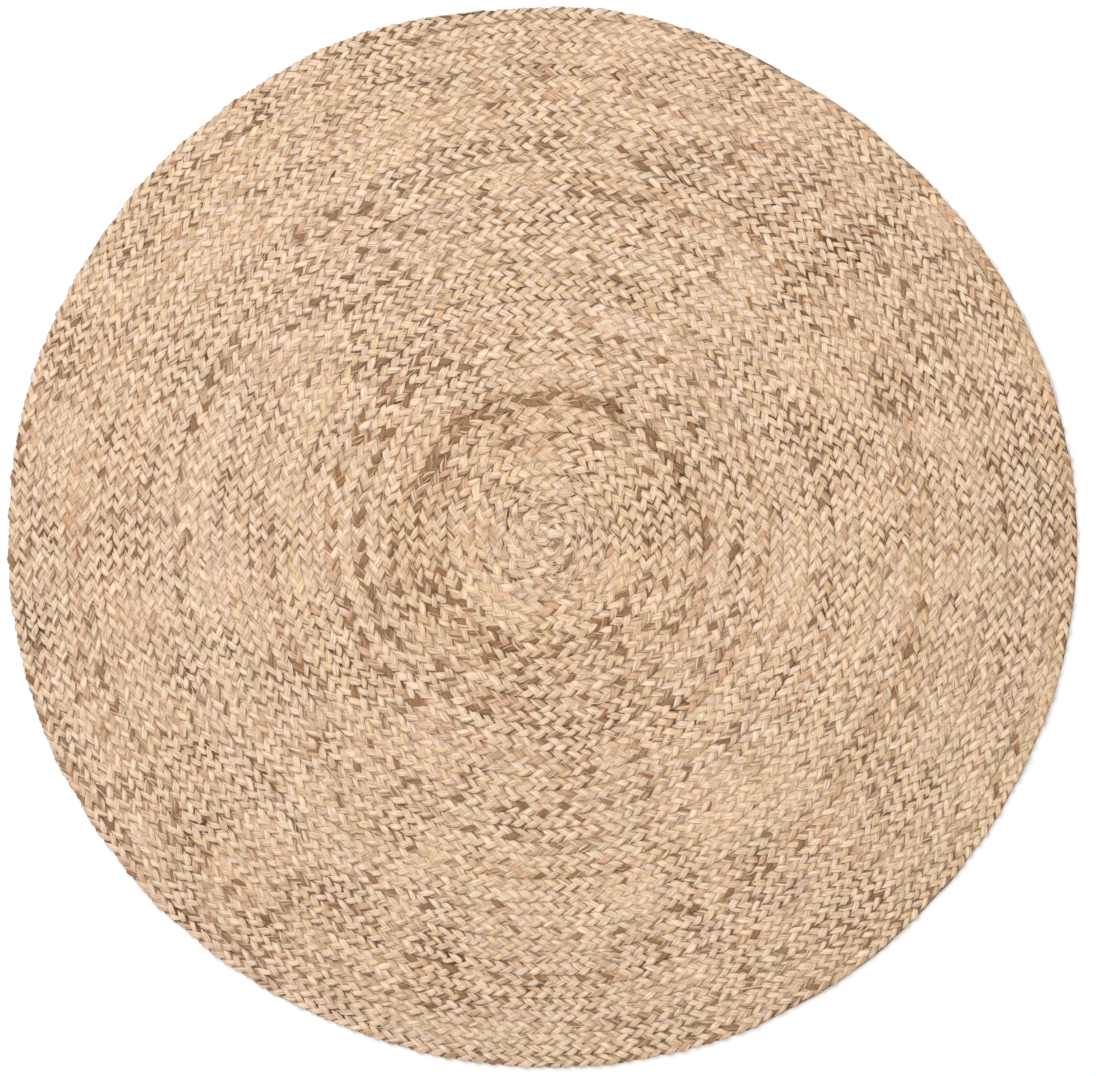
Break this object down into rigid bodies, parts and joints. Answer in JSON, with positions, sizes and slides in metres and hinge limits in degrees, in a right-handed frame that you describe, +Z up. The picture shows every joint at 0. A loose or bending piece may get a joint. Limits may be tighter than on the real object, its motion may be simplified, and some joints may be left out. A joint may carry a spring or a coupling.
{
  "type": "area rug",
  "caption": "Round area rug of flat three-strand jute plaits, coiled side by side from the centre and laced edge to edge.",
  "frame": {"origin": "centre of the rug's outline, on its underside", "axes": "+Z up through the rug, +Y away from the viewer, who stands at the rug's near edge, +X to the right"},
  "size_m": [1.2013, 1.1983, 0.009],
  "materials": {
    "jute_plait": "undyed jute strand, matt, with brown and reddish streaks",
    "jute_twine": "thin two-ply jute lacing twine, matt"
  },
  "bodies": {
    "root": {"plait_a_turn_01": "jute_plait", "plait_a_turn_02": "jute_plait", "plait_a_turn_03": "jute_plait", "plait_a_turn_04": "jute_plait", "plait_a_turn_05": "jute_plait", "plait_a_turn_06": "jute_plait", "plait_a_turn_07": "jute_plait", "plait_a_turn_08": "jute_plait", "plait_a_turn_09": "jute_plait", "plait_a_turn_10": "jute_plait", "plait_a_turn_11": "jute_plait", "plait_a_turn_12": "jute_plait", "plait_a_turn_13": "jute_plait", "plait_a_turn_14": "jute_plait", "plait_a_turn_15": "jute_plait", "plait_a_turn_16": "jute_plait", "plait_a_turn_17": "jute_plait", "plait_a_turn_18": "jute_plait", "plait_a_turn_19": "jute_plait", "plait_a_turn_20": "jute_plait", "plait_a_turn_21": "jute_plait", "plait_a_tail": "jute_plait", "plait_b_turn_01": "jute_plait", "plait_b_turn_02": "jute_plait", "plait_b_turn_03": "jute_plait", "plait_b_turn_04": "jute_plait", "plait_b_turn_05": "jute_plait", "plait_b_turn_06": "jute_plait", "plait_b_turn_07": "jute_plait", "plait_b_turn_08": "jute_plait", "plait_b_turn_09": "jute_plait", "plait_b_turn_10": "jute_plait", "plait_b_turn_11": "jute_plait", "plait_b_turn_12": "jute_plait", "plait_b_turn_13": "jute_plait", "plait_b_turn_14": "jute_plait", "plait_b_turn_15": "jute_plait", "plait_b_turn_16": "jute_plait", "plait_b_turn_17": "jute_plait", "plait_b_turn_18": "jute_plait", "plait_b_turn_19": "jute_plait", "plait_b_turn_20": "jute_plait", "plait_b_turn_21": "jute_plait", "plait_b_tail": "jute_plait", "lacing_twine_a": "jute_twine", "lacing_twine_b": "jute_twine"}
  },
  "joints": []
}
